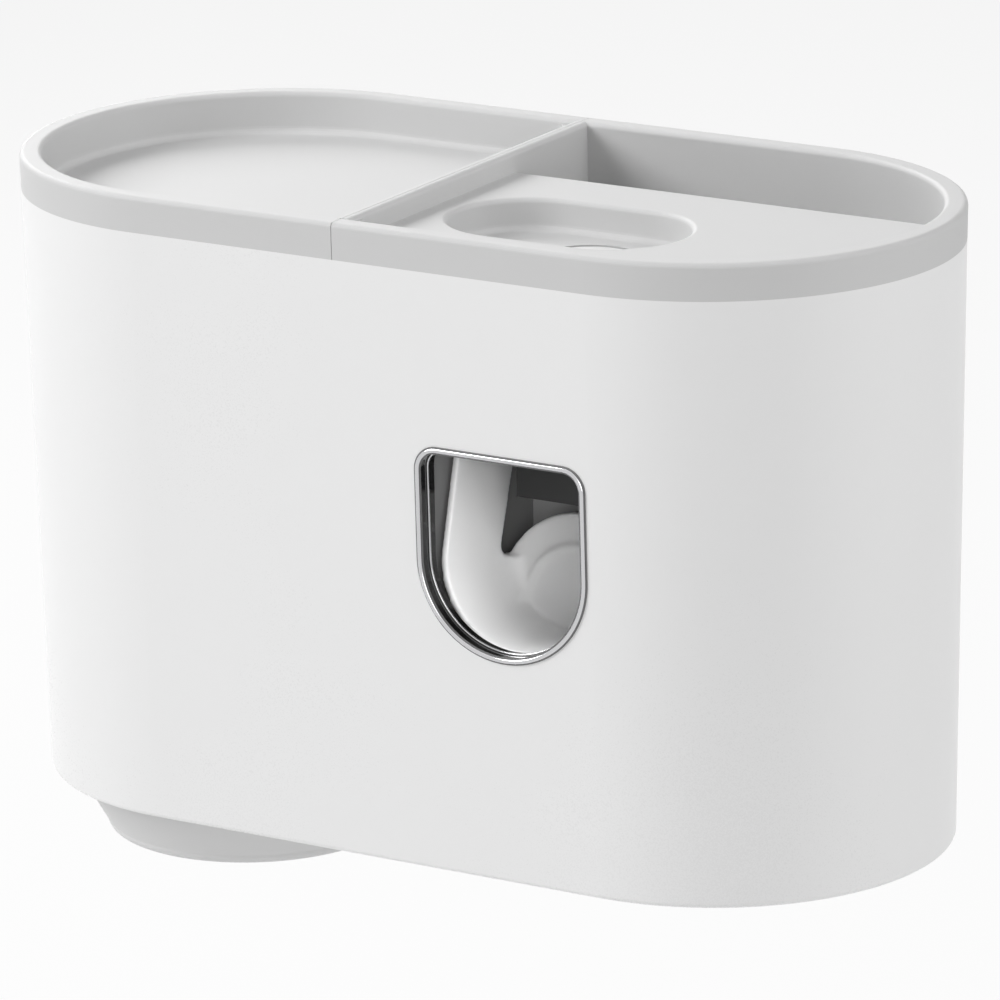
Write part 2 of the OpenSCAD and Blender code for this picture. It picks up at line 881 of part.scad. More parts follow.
// The cap that closes the bore and guides the plunger's rod
module chamber_cap() {
    color(white)
        in_pump()
            translate([0, bore_y, 0])
                difference() {
                    union() {
                        bar_z(bore_r + bore_wall, chamber_top + touch, chamber_top + cap_t);
                        bar_z(bore_r - spigot_fit, chamber_top - cap_spigot, chamber_top + 2 * touch);
                    }
                    bar_z(rod_r + run_gap, chamber_top - cap_spigot - over, chamber_top + cap_t + over);
                }
}

groove_r = bore_r - 1.05;
groove_z = piston_z + piston_t / 2;
groove_h = 1.6;

// The plunger: piston with a seal groove, rod and push button
module plunger() {
    color(white)
        in_pump()
            translate([0, bore_y, 0])
                difference() {
                    union() {
                        bar_z(bore_r - run_gap, piston_z, piston_top);
                        bar_z(rod_r, piston_top - over, head_z - head_t + touch);
                        bar_z(head_r, head_z - head_t, head_z);
                    }
                    difference() {
                        bar_z(bore_r + over, groove_z - groove_h / 2, groove_z + groove_h / 2);
                        bar_z(groove_r, groove_z - groove_h, groove_z + groove_h);
                    }
                }
}

// The soft ring in the piston's groove
module plunger_seal() {
    color(silicone)
        in_pump()
            translate([0, bore_y, groove_z])
                difference() {
                    bar_z(bore_r - seal_slip, -groove_h / 2 + touch, groove_h / 2 - touch);
                    bar_z(groove_r + touch, -groove_h, groove_h);
                }
}

// The spring's centre line: an open helix
coil_r = 5.5;
coil_steps = 8;
wire_sides = 6;
coil_rings = coil_steps * spring_turns;
function coil_point(i) = let (a = 360 * i / coil_steps)
    [coil_r * cos(a), coil_r * sin(a), wire_d / 2 + i / coil_rings * (spring_len - wire_d)];
coil_points = [for (i = [0:coil_rings]) coil_point(i)];
coil_gap = min([for (i = [0:coil_rings - coil_steps])
    norm(coil_points[i + coil_steps] - coil_points[i])]) - wire_d;
echo(least_gap_between_spring_turns = coil_gap);

// The return spring under the piston, one unbroken wire
module return_spring() {
    points = [for (i = [0:coil_rings], k = [0:wire_sides - 1])
        let (p = coil_points[i], a = 360 * i / coil_steps, b = 360 * k / wire_sides,
            out = wire_d / 2 * cos(b))
        [p[0] + out * cos(a), p[1] + out * sin(a), p[2] + wire_d / 2 * sin(b)]];
    skin = [for (i = [0:coil_rings - 1], k = [0:wire_sides - 1])
        let (a = i * wire_sides + k, b = i * wire_sides + (k + 1) % wire_sides)
        each [[a, a + wire_sides, b], [b, a + wire_sides, b + wire_sides]]];
    last = coil_rings * wire_sides;
    ends = [for (k = [1:wire_sides - 2]) each [[0, k, k + 1], [last, last + k + 1, last + k]]];
    color(steel)
        in_pump()
            translate([0, bore_y, chamber_floor + touch])
                polyhedron(points = points, faces = concat(skin, ends));
}

// The soft seal that grips the tube's neck
module inlet_seal() {
    color(silicone)
        in_pump()
            translate([0, -neck_y, 0])
                difference() {
                    union() {
                        bar_z(seal_r, cup_z - seal_len + touch, cup_z + lip_t / 2);
                        bar_z(cup_r - cup_fit, cup_z + touch, cup_z + lip_t);
                    }
                    bar_z(neck_r, cup_z - seal_len - over, cup_z + lip_t + over);
                }
}

// The flap that lets paste down into the pump and not back
module inlet_valve() {
    color(silicone)
        in_pump()
            translate([0, -neck_y, 0])
                bar_z(valve_r - flap_air, valve_top - flap_t, valve_top - touch);
}

// The plug under the valve chamber, with the post that carries the flap
module valve_plug() {
    color(charcoal)
        in_pump()
            translate([0, -neck_y, 0]) {
                intersection() {
                    bar_z(valve_r + plug_brim, duct_low - plug_t, duct_low - touch);
                    span([-duct_r, nozzle_back + neck_y + touch, duct_low - plug_t],
                        [duct_r, duct_r, duct_low]);
                }
                bar_z(valve_r - spigot_fit, duct_low - 2 * touch, port_z - paste_r);
                bar_z(post_r, port_z - paste_r - touch, valve_top - flap_t - touch);
            }
}

// The soft outlet valve at the nozzle: a collar that narrows to a slit beak
module outlet_valve() {
    color(silicone)
        in_pump()
            translate([0, nozzle_y, beak_z])
                difference() {
                    union() {
                        bar_z(beak_bore_r - cup_fit, 0, beak_bore_len - cup_fit);
                        translate([0, 0, -beak_len])
                            cylinder(r1 = beak_tip_r, r2 = 2 * beak_tip_r, h = beak_len + touch);
                    }
                    bar_z(beak_r, -lap, beak_bore_len + over);
                    span([-beak_tip_r + lap, -beak_slit / 2, -beak_len - over],
                        [beak_tip_r - lap, beak_slit / 2, 0]);
                }
}

// The trough and both arms seen from the front, from the hinge line
module lever_front(half) {
    translate([0, trough_z])
        circle(r = half);
    translate([-half, trough_z])
        square([2 * half, bar_top - trough_z]);
}

// The lever from the side: lip, leaning front edge, the bar's shoulder, and the back with its notch
module lever_side() {
    low = -lever_reach - lever_wall - over;
    arm = lip_step - lever_lip;
    shoulder = -bore_ahead - shoulder_ahead;
    polygon(concat(
        [[-lever_lip, low], [-lever_lip, trough_z], [arm, trough_z + lip_rise],
            [arm, -2 * shoulder_ahead], [shoulder, -shoulder_ahead], [shoulder, bar_top],
            [eye_r - 2, bar_top], [eye_r, 0], [plate_rear, -2 * plate_back], [plate_rear, -arm_full]],
        arc([notch_y, notch_z], notch_r, 180, 270),
        [[plate_rear, notch_z - notch_r], [plate_rear, low]]));
}

// The hollow that leads the trough's floor up into the push plate, round the bead
module lever_scoop() {
    edge = arm_in + lap;
    back = plate_back + touch;
    intersection() {
        translate([0, 0, trough_z])
            rotate([-90, 0, 0])
                rotate_extrude()
                    polygon(concat(
                        [[edge, back], [edge, plate_back - scoop_r]],
                        arc([arm_in - scoop_r, plate_back - scoop_r], scoop_r, 0, 90, 8),
                        [[arm_in - scoop_r, back]]));
        front_prism(plate_back - scoop_r - over, back)
            translate([0, arch_z])
                difference() {
                    circle(r = arch_r);
                    circle(r = bead_r);
                    translate([-arch_r, notch_z - notch_r - arch_z])
                        square(2 * arch_r);
                }
    }
}

// The push lever: a trough for the brush, a push plate behind it, two arms and the bar over the plunger
module push_lever() {
    color(white)
        in_pump()
            translate([0, -hinge_y, hinge_z])
                rotate([-rest_lean, 0, 0])
                    difference() {
                        union() {
                            intersection() {
                                front_prism(-lever_lip - shoulder_ahead, plate_rear + over)
                                    difference() {
                                        lever_front(arm_out);
                                        lever_front(arm_in);
                                        translate([-arm_in, 0])
                                            square([2 * arm_in, bar_top + over]);
                                    }
                                side_prism(-arm_out - over, arm_out + over)
                                    lever_side();
                            }
                            front_prism(plate_back, plate_rear)
                                intersection() {
                                    lever_front(arm_in + lap);
                                    translate([0, arch_z])
                                        circle(r = arch_r);
                                }
                            lever_scoop();
                            intersection() {
                                translate([0, plate_back, arch_z])
                                    rotate([90, 0, 0])
                                        rotate_extrude()
                                            translate([bead_r, 0])
                                                circle(r = bead_t);
                                front_prism(plate_back - bead_t - over, plate_back + touch)
                                    lever_front(arm_in + lap);
                            }
                            span([-arm_in - lap, -bore_ahead - bar_half, bar_z],
                                [arm_in + lap, -bore_ahead + bar_half, bar_top]);
                            translate([0, -bore_ahead, 0]) {
                                span([-ridge_half, -ridge_r, 0], [ridge_half, ridge_r, bar_z + touch]);
                                bar_x(ridge_r, -ridge_half, ridge_half);
                            }
                            bar_x(eye_r, arm_in - lap, case_in - eye_air);
                            bar_x(eye_r, eye_air - case_in, lap - arm_in);
                        }
                        bar_x(pin_r + run_gap, -case_out, case_out);
                    }
}

// The two steel pins that the lever swings on
module lever_pins() {
    color(steel)
        in_pump()
            translate([0, -hinge_y, hinge_z])
                for (side = [0, 1])
                    mirror([side, 0, 0]) {
                        bar_x(pin_r, arm_in - over, case_out + 2 * touch);
                        bar_x(pin_r + pin_head, case_out + touch, case_out + pin_head);
                    }
}

// The cup seat under the left end: a shallow cone with the magnet inside
module cup_seat() {
    inner_low = seat_z + seat_wall;
    slope = (seat_top_r - seat_r) / seat_h;
    color(grey)
        in_body() {
            translate([-seat_x, -seat_y, 0]) {
                rotate_extrude()
                    polygon(concat(
                        [[0, seat_z]],
                        arc([seat_r - seat_edge, seat_z + seat_edge], seat_edge, -90, 0, 5),
                        [[seat_top_r, z_floor - touch], [seat_top_r - seat_wall, z_floor - touch],
                            [seat_r + slope * seat_wall - seat_wall, inner_low], [0, inner_low]]));
                difference() {
                    bar_z(magnet_r + magnet_wall, inner_low - touch, inner_low + magnet_t);
                    bar_z(magnet_r + magnet_fit, inner_low - over, inner_low + magnet_t + over);
                }
            }
            at_seat_screws()
                difference() {
                    bar_z(seat_post_r, inner_low - touch, z_floor - touch);
                    bar_z(pilot_r, inner_low + over, z_floor + over);
                }
        }
}

// The three screws that hold the cup seat, put in from inside the body
module seat_screws() {
    color(steel)
        in_body()
            at_seat_screws()
                translate([0, 0, z_floor + floor_t])
                    pan_screw(floor_t + seat_h - seat_wall - seat_clear);
}

// The magnet that holds a hanging cup
module seat_magnet() {
    color(steel)
        in_body()
            translate([-seat_x, -seat_y, 0])
                bar_z(magnet_r, seat_z + seat_wall + touch, seat_z + seat_wall + magnet_t);
}

// The steel disc on the magnet's back
module magnet_yoke() {
    color(steel)
        in_body()
            translate([-seat_x, -seat_y, 0])
                bar_z(magnet_r + over, seat_z + seat_wall + magnet_t + touch,
                    seat_z + seat_wall + magnet_t + touch + yoke_t);
}

adhesive_pad();
wall_plate();
body_shell();
wall_bumpers();
left_tray();
right_tray();
window_bezel();
window_liner();
pump_case();
case_cheeks();
case_screws();
pump_block();
pump_screws();
chamber_cap();
plunger();
plunger_seal();
return_spring();
inlet_seal();
inlet_valve();
valve_plug();
outlet_valve();
push_lever();
lever_pins();
cup_seat();
seat_screws();
seat_magnet();
magnet_yoke();
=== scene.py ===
# %% [markdown]
# A wall-hung bathroom organiser with a toothpaste pump behind an arched window. The mechanical
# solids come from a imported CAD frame. This lesson dresses them: each visible surface gets its real
# finish, and the forms that look soft in life are modelled again with rounder edges.

# %% Load the frame
import json
import math
import bmesh
import bpy
from mathutils import Matrix, Vector


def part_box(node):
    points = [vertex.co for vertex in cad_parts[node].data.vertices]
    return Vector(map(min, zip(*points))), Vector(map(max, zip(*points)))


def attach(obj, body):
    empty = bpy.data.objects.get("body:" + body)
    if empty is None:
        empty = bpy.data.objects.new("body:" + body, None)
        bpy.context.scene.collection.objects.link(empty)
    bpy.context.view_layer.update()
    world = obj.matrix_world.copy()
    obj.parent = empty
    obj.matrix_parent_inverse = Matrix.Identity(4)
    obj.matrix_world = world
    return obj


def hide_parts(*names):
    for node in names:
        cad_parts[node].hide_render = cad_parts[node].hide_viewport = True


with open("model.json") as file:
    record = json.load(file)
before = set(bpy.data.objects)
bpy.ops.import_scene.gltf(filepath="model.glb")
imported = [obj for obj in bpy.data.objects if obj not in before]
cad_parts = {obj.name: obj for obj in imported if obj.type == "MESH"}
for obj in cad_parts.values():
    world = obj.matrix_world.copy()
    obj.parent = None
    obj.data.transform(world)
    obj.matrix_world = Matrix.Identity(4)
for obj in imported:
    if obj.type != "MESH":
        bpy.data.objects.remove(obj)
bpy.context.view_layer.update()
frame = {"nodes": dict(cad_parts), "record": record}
nodes = frame["nodes"]

# %% [markdown]
# Every later size leans on a few main ones: the rim's height and radius, the body's middle and foot,
# and the window. They are read from the frame, so the dressed pieces can't drift from the mechanical
# ones.

# %% Main sizes
MM = 0.001
deck_low, deck_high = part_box("right_tray")
shell_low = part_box("body_shell")[0]
bezel_low, bezel_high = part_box("window_bezel")
rim_z = deck_high.z
rim_radius = (deck_high.y - deck_low.y) / 2
body_y = (deck_high.y + deck_low.y) / 2
foot_z = shell_low.z
window_x = (bezel_low.x + bezel_high.x) / 2
print("rim radius", round(rim_radius / MM, 2), "mm, rim height", round(rim_z / MM, 2), "mm")

# %% [markdown]
# The photograph is a long-lens view from the right of the front and a little above. The camera is
# turned by yaw, pitch and roll about the body's middle, and a small lens shift keeps the framing.
# Angles are in degrees, the lens and its sensor in millimetres, distances in metres, and the shift in
# shares of the picture.

# %% Camera
YAW = 31.563
PITCH = 16.209
ROLL = -1.043
CAMERA_DISTANCE = 1.4541
LENS = 264.86
SENSOR = 36
SHIFT = (0.0092, -0.0152)
FARTHEST_SEEN = 20


def camera_axes():
    """The camera's right, up and back directions."""
    yaw = math.radians(YAW)
    pitch = math.radians(PITCH)
    back = Vector((math.sin(yaw) * math.cos(pitch), -math.cos(yaw) * math.cos(pitch), math.sin(pitch)))
    right = Vector((math.cos(yaw), math.sin(yaw), 0))
    turn = Matrix.Rotation(math.radians(ROLL), 3, back)
    return turn @ right, turn @ back.cross(right), back


def add_camera():
    right, up, back = camera_axes()
    camera = bpy.data.objects.new("camera", bpy.data.cameras.new("camera"))
    bpy.context.scene.collection.objects.link(camera)
    camera.data.sensor_width = SENSOR
    camera.data.lens = LENS
    camera.data.shift_x, camera.data.shift_y = SHIFT
    camera.data.clip_end = FARTHEST_SEEN
    place = Vector((0, body_y, 0)) + back * CAMERA_DISTANCE
    camera.matrix_world = Matrix.Translation(place) @ Matrix((right, up, back)).transposed().to_4x4()
    bpy.context.scene.camera = camera
    return camera


camera = add_camera()
print("camera at", [round(c, 3) for c in camera.location])

# %% [markdown]
# A plain studio. The main lamp stands high on the left and throws the soft shadows of the rim and
# the divider. Weaker lamps stand at the right, overhead and behind both ends, so the round ends keep
# their shape. Each lamp is placed by its turn from the front and its height above the horizon, in
# degrees, and has a size in metres and a power in watts.

# %% Studio
bpy.context.scene.view_settings.view_transform = "Standard"
LAMP_DISTANCE = 1.6
WIDE_LAMP = 0.9
LAMPS = {
    "key": (-50, 32, 0.8, 19.3),
    "front_right": (40, 10, WIDE_LAMP, 6.2),
    "right": (90, 45, WIDE_LAMP, 10.2),
    "top": (0, 85, WIDE_LAMP, 1.5),
    "back_right": (125, 20, WIDE_LAMP, 3),
    "back_left": (-125, 30, WIDE_LAMP, 13),
}
WORLD_LIGHT = 0.05
WORLD_SEEN = 1.0


def direction(turn, height):
    """The way to a lamp, from its turn and its height in degrees."""
    turn, height = math.radians(turn), math.radians(height)
    level = math.cos(height)
    return Vector((math.sin(turn) * level, -math.cos(turn) * level, math.sin(height)))


def add_soft_box(name, turn, height, size, power):
    """A square lamp that faces the body's middle."""
    lamp = bpy.data.lights.new(name, "AREA")
    lamp.shape = "SQUARE"
    lamp.size = size
    lamp.energy = power
    middle = Vector((0, body_y, 0))
    place = middle + direction(turn, height) * LAMP_DISTANCE
    holder = bpy.data.objects.new(name, lamp)
    bpy.context.scene.collection.objects.link(holder)
    holder.location = place
    holder.rotation_euler = (middle - place).to_track_quat("-Z", "Y").to_euler()
    return holder


def add_pale_world(level, seen):
    """A plain world that lights at one level and is seen, straight or in a mirror, at another."""
    world = bpy.data.worlds.new("studio")
    bpy.context.scene.world = world
    world.use_nodes = True
    tree = world.node_tree
    tree.nodes.clear()
    rays = tree.nodes.new("ShaderNodeLightPath")
    shows = tree.nodes.new("ShaderNodeMath")
    shows.operation = "MAXIMUM"
    tree.links.new(rays.outputs["Is Camera Ray"], shows.inputs[0])
    tree.links.new(rays.outputs["Is Glossy Ray"], shows.inputs[1])
    plain = tree.nodes.new("ShaderNodeBackground")
    plain.inputs["Strength"].default_value = level
    white = tree.nodes.new("ShaderNodeBackground")
    white.inputs["Color"].default_value = (1, 1, 1, 1)
    white.inputs["Strength"].default_value = seen
    mix = tree.nodes.new("ShaderNodeMixShader")
    out = tree.nodes.new("ShaderNodeOutputWorld")
    tree.links.new(shows.outputs[0], mix.inputs[0])
    tree.links.new(plain.outputs[0], mix.inputs[1])
    tree.links.new(white.outputs[0], mix.inputs[2])
    tree.links.new(mix.outputs[0], out.inputs[0])


add_pale_world(WORLD_LIGHT, WORLD_SEEN)
for name, setting in LAMPS.items():
    add_soft_box(name, *setting)
print("lamps:", list(LAMPS))

# %% [markdown]
# The dispenser hangs on a wall, so the floor lies well below it. The floor looks white to the
# camera, and still takes the object's shadow.

# %% Floor
FLOOR_DROP = 0.25
FLOOR_SIZE = 12.0


def add_floor():
    """A level sheet below the part. It belongs to the studio, not to the part."""
    mesh = bpy.data.meshes.new("floor")
    sheet = bmesh.new()
    bmesh.ops.create_grid(sheet, x_segments=1, y_segments=1, size=FLOOR_SIZE / 2)
    bmesh.ops.translate(sheet, vec=(0, 0, foot_z - FLOOR_DROP), verts=sheet.verts)
    sheet.to_mesh(mesh)
    sheet.free()
    floor = bpy.data.objects.new("floor", mesh)
    bpy.context.scene.collection.objects.link(floor)
    return floor


floor = add_floor()
print("floor at", round(foot_z - FLOOR_DROP, 3))

# %% [markdown]
# Finishes are made from nodes. Node trees are hard to read as long lists of calls, so one small
# class wraps a socket: arithmetic on it adds Math nodes, and `node` adds any other kind.

# %% A small language for shaders


class Wire:
    """An output socket of a shader node, with arithmetic."""

    def __init__(self, tree, socket):
        self.tree = tree
        self.socket = socket

    def node(self, kind, settings=None, outlet=0, **inlets):
        return add_node(self.tree, kind, settings, outlet, **inlets)

    def maths(self, operation, other, swap=False):
        first, second = (other, self) if swap else (self, other)
        return self.node("ShaderNodeMath", {"operation": operation}, _0=first, _1=second)

    def __add__(self, other):
        return self.maths("ADD", other)

    __radd__ = __add__

    def __sub__(self, other):
        return self.maths("SUBTRACT", other)

    def __rsub__(self, other):
        return self.maths("SUBTRACT", other, swap=True)

    def __mul__(self, other):
        return self.maths("MULTIPLY", other)

    __rmul__ = __mul__


def add_node(tree, kind, settings=None, outlet=0, **inlets):
    """Adds a node: its settings first, then values or wires for its sockets by name or _number."""
    made = tree.nodes.new(kind)
    for name, value in (settings or {}).items():
        setattr(made, name, value)
    for name, value in inlets.items():
        key = int(name[1:]) if name[0] == "_" else name.replace("_", " ")
        socket = made.inputs[key]
        if isinstance(value, Wire):
            tree.links.new(value.socket, socket)
        else:
            socket.default_value = value
    return Wire(tree, made.outputs[outlet])


def new_material(name):
    """A material with an empty node tree."""
    material = bpy.data.materials.new(name)
    material.use_nodes = True
    material.node_tree.nodes.clear()
    return material, material.node_tree


def finish_material(tree, surface):
    out = tree.nodes.new("ShaderNodeOutputMaterial")
    tree.links.new(surface.socket, out.inputs["Surface"])


def noise(tree, scale, detail, roughness=0.5):
    """A smooth pattern from 0 to 1; scale is in patches per metre."""
    place = add_node(tree, "ShaderNodeTexCoord", outlet="Object")
    return add_node(tree, "ShaderNodeTexNoise", Vector=place, Scale=scale, Detail=detail,
                    Roughness=roughness)


def relief(tree, height):
    """Bumps a surface by a wire that holds a height in metres."""
    return add_node(tree, "ShaderNodeBump", Height=height, Strength=1.0, Distance=1.0)


def shade(tree, dark, light, factor):
    """A colour between two others, by a wire from 0 to 1. The mix node numbers its sockets."""
    return add_node(tree, "ShaderNodeMix", {"data_type": "RGBA"}, outlet=2, _0=factor,
                    _6=(*dark, 1), _7=(*light, 1))


print("wire class ready")

# %% [markdown]
# Moulded plastic is never one flat colour. Its tone drifts a little across the part, the tool's
# texture breaks up the gloss, and the skin has a faint ripple. Three noises do this, each at its own
# scale, so close views and far views both have something true to show.

# %% Moulded plastic
DRIFT_SCALE = 9.0
GRAIN_SCALE = 3200.0
RIPPLE_SCALE = 70.0
GLOSS_DRIFT = 0.06
GLOSS_GRAIN = 0.05
GLOSS_SHIFT = 0.05  # keeps the mean near the roughness that is asked for


def plastic(name, colour, drift, roughness, grain, ripple, coat=0.0):
    """colour is linear; drift is its tone change; grain and ripple are depths in metres."""
    material, tree = new_material(name)
    broad = noise(tree, DRIFT_SCALE, 3.0)
    fine = noise(tree, GRAIN_SCALE, 2.0, 0.6)
    skin = noise(tree, RIPPLE_SCALE, 2.0)
    dark = tuple(c * (1 - drift) for c in colour)
    light = tuple(min(1, c * (1 + drift)) for c in colour)
    gloss = roughness - GLOSS_SHIFT + broad * GLOSS_DRIFT + fine * GLOSS_GRAIN
    surface = add_node(tree, "ShaderNodeBsdfPrincipled", Base_Color=shade(tree, dark, light, broad),
                       Roughness=gloss, Normal=relief(tree, fine * grain + skin * ripple),
                       Coat_Weight=coat)
    finish_material(tree, surface)
    return material


def grey(value):
    """A screen grey from 0 to 255 as a linear colour, by the standard screen curve."""
    level = value / 255
    linear = level / 12.92 if level <= 0.04045 else ((level + 0.055) / 1.055) ** 2.4
    return (linear, linear, linear)


shell_white = plastic("shell_white", grey(237), 0.012, 0.28, 0.000002, 0.00001, coat=0.15)
tray_grey = plastic("tray_grey", grey(204), 0.015, 0.55, 0.000010, 0.00001)
seat_grey = plastic("seat_grey", grey(212), 0.015, 0.55, 0.000010, 0.00001)
lever_white = plastic("lever_white", grey(242), 0.01, 0.3, 0.000003, 0.00001, coat=0.1)
white_plastic = plastic("white_plastic", grey(228), 0.015, 0.45, 0.000006, 0.00001)
# The pump block's charcoal and the case's grey are partly their own colours and partly painted shade:
# they are darkened to give the deep shade behind the small window.
pump_charcoal = plastic("pump_charcoal", grey(40), 0.05, 0.5, 0.000008, 0.00001)
case_grey = plastic("case_grey", grey(130), 0.04, 0.5, 0.000008, 0.00001)
# The liner's near-black is painted shade: the sleeve looks dark because the pump's interior behind it
# lies in shade. Its gloss is real.
liner_dark = plastic("liner_dark", grey(30), 0.03, 0.08, 0.0, 0.00002, coat=0.6)
bumper_rubber = plastic("bumper_rubber", grey(48), 0.06, 0.75, 0.000015, 0.00001)
# A mid grey for the ring of painted shade round the bezel.
bezel_shade_grey = plastic("bezel_shade_grey", grey(120), 0.04, 0.6, 0.000005, 0.00001)
silicone = plastic("silicone", grey(222), 0.02, 0.5, 0.000004, 0.00001)
adhesive_foam = plastic("adhesive_foam", grey(218), 0.03, 0.9, 0.00003, 0.00002)
print("plastics ready")

# %% [markdown]
# Metal is a mirror with faults. The bezel is polished, so only broad faint swirls show; the screws,
# pins and spring are plain drawn steel, and the magnet has a nickel skin.

# %% Metal
SWIRL_SCALE = 60.0
SWIRL_DEPTH = 0.000004
SWIRL_DULL = 0.94
DRAWN_SCALE = 2500.0


def metal(name, colour, roughness, drawn):
    """colour is linear; drawn is how far the fine grain changes the roughness."""
    material, tree = new_material(name)
    broad = noise(tree, SWIRL_SCALE, 3.0)
    fine = noise(tree, DRAWN_SCALE, 2.0)
    dark = tuple(c * SWIRL_DULL for c in colour)
    surface = add_node(tree, "ShaderNodeBsdfPrincipled", Base_Color=shade(tree, dark, colour, broad),
                       Metallic=1.0, Roughness=roughness + fine * drawn,
                       Normal=relief(tree, broad * SWIRL_DEPTH))
    finish_material(tree, surface)
    return material


bezel_chrome = metal("bezel_chrome", (0.62, 0.62, 0.63), 0.08, 0.05)
screw_steel = metal("screw_steel", (0.60, 0.60, 0.61), 0.25, 0.12)
magnet_nickel = metal("magnet_nickel", (0.62, 0.61, 0.58), 0.2, 0.1)
print("metals ready")

# %% [markdown]
# The floor is matt and pale. To the camera, and in mirrors, most of it is plain white. The rest is
# the real surface, so the object's soft shadow still falls on it and its underside gets honest light.

# %% Floor finish
GLOW_SHARE = 0.88
FLOOR_PALE = 0.8


def floor_white():
    """Matt for the lamps, and mostly a plain glow for the camera, in mirrors and through glass."""
    material, tree = new_material("floor_white")
    matt = add_node(tree, "ShaderNodeBsdfDiffuse", Color=(FLOOR_PALE, FLOOR_PALE, FLOOR_PALE, 1))
    glow = add_node(tree, "ShaderNodeEmission", Strength=1.0)
    straight = add_node(tree, "ShaderNodeLightPath", outlet="Is Camera Ray")
    mirrored = straight.node("ShaderNodeLightPath", outlet="Is Glossy Ray")
    through = straight.node("ShaderNodeLightPath", outlet="Is Transmission Ray")
    shows = (straight + mirrored + through) * GLOW_SHARE
    finish_material(tree, add_node(tree, "ShaderNodeMixShader", _0=shows, _1=matt, _2=glow))
    return material


floor.data.materials.append(floor_white())
print("floor finish ready")

# %% [markdown]
# Each mechanical solid takes the finish that the record names for it.

# %% Dress the mechanical solids
FINISHES = {
    "shell_white": shell_white, "tray_grey": tray_grey, "seat_grey": seat_grey,
    "lever_white": lever_white, "white_plastic": white_plastic, "pump_charcoal": pump_charcoal,
    "liner_dark": liner_dark, "bumper_rubber": bumper_rubber, "silicone": silicone,
    "adhesive_foam": adhesive_foam, "bezel_chrome": bezel_chrome, "screw_steel": screw_steel,
    "magnet_nickel": magnet_nickel, "case_grey": case_grey,
}
for entry in frame["record"]["subparts"]:
    mesh = nodes[entry["node"]].data
    mesh.materials.clear()
    mesh.materials.append(FINISHES[entry["material_slot"]])

# %% [markdown]
# The window is framed by a thin polished bezel, a pressed ring. Under it lies a dark ring whose edges
# peek out as two fine lines: painted shade, for the shadowed groove round the bezel. Both come from
# one flat outline: half a circle, two straight sides, and two corners rounded by a vertex bevel.
# Insetting that plate leaves the ring.

# %% The window's outline
BODY_DRAFT = 2.3 * MM
CORNER = 5.0 * MM
CIRCLE_STEPS = 128
CORNER_STEPS = 10
HAIR = 0.01 * MM
SMOOTH_BELOW = 40  # degrees
window_r = (bezel_high.x - bezel_low.x) / 2
window_top = bezel_high.z
window_z = bezel_low.z + window_r
draft_angle = math.atan2(BODY_DRAFT, rim_z - foot_z)


def front_y(z):
    """Where the body's front face lies at a height."""
    return body_y - rim_radius + BODY_DRAFT * (rim_z - z) / (rim_z - foot_z)


def window_plate(grow):
    """A flat plate with the window's outline, upright and facing the front, about the origin."""
    plate = bmesh.new()
    bmesh.ops.create_circle(plate, cap_ends=False, segments=CIRCLE_STEPS, radius=window_r + grow)
    upper = [v for v in plate.verts if v.co.y > HAIR]
    bmesh.ops.delete(plate, geom=upper, context="VERTS")
    ends = [v for v in plate.verts if len(v.link_edges) == 1]
    tops = bmesh.ops.extrude_vert_indiv(plate, verts=ends)["verts"]
    bmesh.ops.translate(plate, vec=(0, window_top - window_z + grow, 0), verts=tops)
    bmesh.ops.contextual_create(plate, geom=tops)
    bmesh.ops.contextual_create(plate, geom=plate.edges[:])
    bmesh.ops.bevel(plate, geom=tops, offset=CORNER + grow, offset_type="OFFSET",
                    segments=CORNER_STEPS, profile=0.5, affect="VERTICES", material=-1)
    upright = Matrix.Rotation(math.pi / 2, 3, "X")
    bmesh.ops.rotate(plate, cent=(0, 0, 0), matrix=upright, verts=plate.verts)
    return plate


def to_window(shape, proud):
    """Leans a shape to the body's draft and moves it to the window, `proud` in front of the face."""
    lean = Matrix.Rotation(draft_angle, 3, "X")
    bmesh.ops.rotate(shape, cent=(0, 0, 0), matrix=lean, verts=shape.verts)
    place = (window_x, front_y(window_z) - proud, window_z)
    bmesh.ops.translate(shape, vec=place, verts=shape.verts)


def add_piece(name, shape, material, body):
    """Turns a bmesh into an object with a finish, and lets it ride on a body."""
    bmesh.ops.recalc_face_normals(shape, faces=shape.faces)
    mesh = bpy.data.meshes.new(name)
    shape.to_mesh(mesh)
    shape.free()
    mesh.shade_smooth()
    mesh.set_sharp_from_angle(angle=math.radians(SMOOTH_BELOW))
    mesh.materials.append(material)
    piece = bpy.data.objects.new(name, mesh)
    bpy.context.scene.collection.objects.link(piece)
    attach(piece, body)
    return piece


print("window radius", round(window_r / MM, 2), "mm, middle at height", round(window_z / MM, 2), "mm")

# %% Bezel and its ring of painted shade
WINDOW_INSET = 0.05 * MM
BEZEL_WIDTH = 1.0 * MM
BEZEL_PROUD = 0.55 * MM
BEZEL_ROUND = 0.4 * MM
# Width and height of the dark ring of painted shade that shows round the bezel.
SHADE_RING_EDGE = 0.22 * MM
SHADE_RING_PROUD = 0.18 * MM
SHARP_ABOVE = 50  # degrees


def flat_ring(grow, width, thick):
    """A flat ring with the window's outline: the plate is inset, opened and given a thickness."""
    ring = window_plate(grow)
    rim = bmesh.ops.inset_region(ring, faces=ring.faces[:], thickness=width, use_boundary=True,
                                 use_even_offset=True)["faces"]
    middle = [f for f in ring.faces if f not in rim]
    bmesh.ops.delete(ring, geom=middle, context="FACES")
    bmesh.ops.solidify(ring, geom=ring.faces[:], thickness=thick)
    bmesh.ops.recalc_face_normals(ring, faces=ring.faces)
    return ring


def round_edges(shape, offset, segments):
    """Bevels every edge where the faces turn by more than an angle."""
    limit = math.radians(SHARP_ABOVE)
    sharp = [e for e in shape.edges if e.is_manifold and e.calc_face_angle(0) > limit]
    bmesh.ops.bevel(shape, geom=sharp, offset=offset, offset_type="OFFSET", segments=segments,
                    profile=0.5, affect="EDGES", material=-1)
